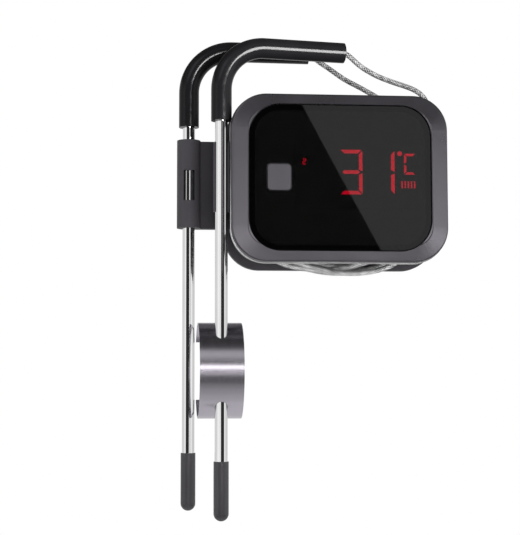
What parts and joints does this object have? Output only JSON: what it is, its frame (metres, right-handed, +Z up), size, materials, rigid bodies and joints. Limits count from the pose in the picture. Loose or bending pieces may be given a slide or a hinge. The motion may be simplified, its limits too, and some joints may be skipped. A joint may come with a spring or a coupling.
{
  "type": "grill meat thermometer",
  "caption": "Wireless grill thermometer: lit display head on a magnetic cable winder, bent steel probes with black handles in a side holder, and a spring clip.",
  "frame": {"origin": "centre of the magnetic rear face of the back plate", "axes": "+X right as the user sees the display, +Y away from the user and out of the rear face, +Z up with the probe tips down"},
  "size_m": [0.0849, 0.028, 0.1537],
  "materials": {
    "gunmetal_plastic": "satin gunmetal paint on moulded plastic",
    "bright_trim": "bright plated",
    "black_lens": "glossy smoked black",
    "display_body": "matt black",
    "lit_red": "red lit segments",
    "board_green": "solder-resist green",
    "component_black": "moulded component body",
    "shield_tin": "tinned shield",
    "button_grey": "satin grey",
    "black_plastic": "fine-textured black",
    "screw_steel": "zinc-plated",
    "spring_steel": "nickel-plated",
    "cell_jacket": "printed shrink jacket, no marks",
    "magnet": "nickel-plated magnet",
    "gland_rubber": "matt",
    "polished_steel": "polished stainless",
    "sleeve_rubber": "satin black silicone",
    "cap_rubber": "matt dark grey silicone",
    "sensor_epoxy": "potting",
    "clip_steel": "brushed stainless",
    "braided_steel": "braided stainless over-sleeve"
  },
  "bodies": {
    "display_head": {"front_frame": "gunmetal_plastic", "trim_ring": "bright_trim", "lens": "black_lens", "display_module": "display_body", "lit_segments": "lit_red", "circuit_board": "board_green", "button_switch": "component_black", "buzzer": "component_black", "control_chip": "component_black", "radio_module": "shield_tin", "rear_case": "black_plastic", "case_screws": "screw_steel", "battery_contacts": "spring_steel", "battery_springs": "spring_steel", "battery_cell_upper": "cell_jacket", "battery_cell_lower": "cell_jacket", "back_plate": "black_plastic", "plate_screws": "screw_steel", "magnets": "magnet", "cable_glands": "gland_rubber", "probe_holder": "black_plastic", "front_cable_lead": "braided_steel", "front_cable_winding": "braided_steel", "rear_cable_lead": "braided_steel", "rear_cable_winding": "braided_steel"},
    "push_button": {"push_button": "button_grey"},
    "battery_door": {"battery_door": "black_plastic"},
    "front_probe": {"front_probe_shaft": "polished_steel", "front_probe_sleeve": "sleeve_rubber", "front_probe_sensor": "sensor_epoxy"},
    "front_cap": {"front_probe_cap": "cap_rubber"},
    "rear_probe": {"rear_probe_shaft": "polished_steel", "rear_probe_sleeve": "sleeve_rubber", "rear_probe_sensor": "sensor_epoxy"},
    "rear_cap": {"rear_probe_cap": "cap_rubber"},
    "spring_clip": {"spring_clip": "clip_steel"}
  },
  "joints": [
    {"name": "button_push", "type": "slide", "parent": "display_head", "child": "push_button", "axis": [0, 1, 0], "range_m": [0, 0.0005], "stiffness_N_per_m": 2000, "springref_m": -0.0002},
    {"name": "battery_door_hinge", "type": "hinge", "parent": "display_head", "child": "battery_door", "pos_m": [0, -0.0009, 0.01155], "axis": [1, 0, 0], "range_deg": [0, 70]},
    {"name": "front_probe_lift", "type": "slide", "parent": "display_head", "child": "front_probe", "axis": [0, 0, 1], "range_m": [0, 0.0135]},
    {"name": "rear_probe_lift", "type": "slide", "parent": "display_head", "child": "rear_probe", "axis": [0, 0, 1], "range_m": [-0.003, 0.07]},
    {"name": "front_cap_pull", "type": "slide", "parent": "front_probe", "child": "front_cap", "axis": [0, 0, -1], "range_m": [0, 0.018]},
    {"name": "rear_cap_pull", "type": "slide", "parent": "rear_probe", "child": "rear_cap", "axis": [0, 0, -1], "range_m": [0, 0.018]},
    {"name": "clip_slide", "type": "slide", "parent": "front_probe", "child": "spring_clip", "axis": [0, 0, 1], "range_m": [-0.012, 0.006]}
  ]
}
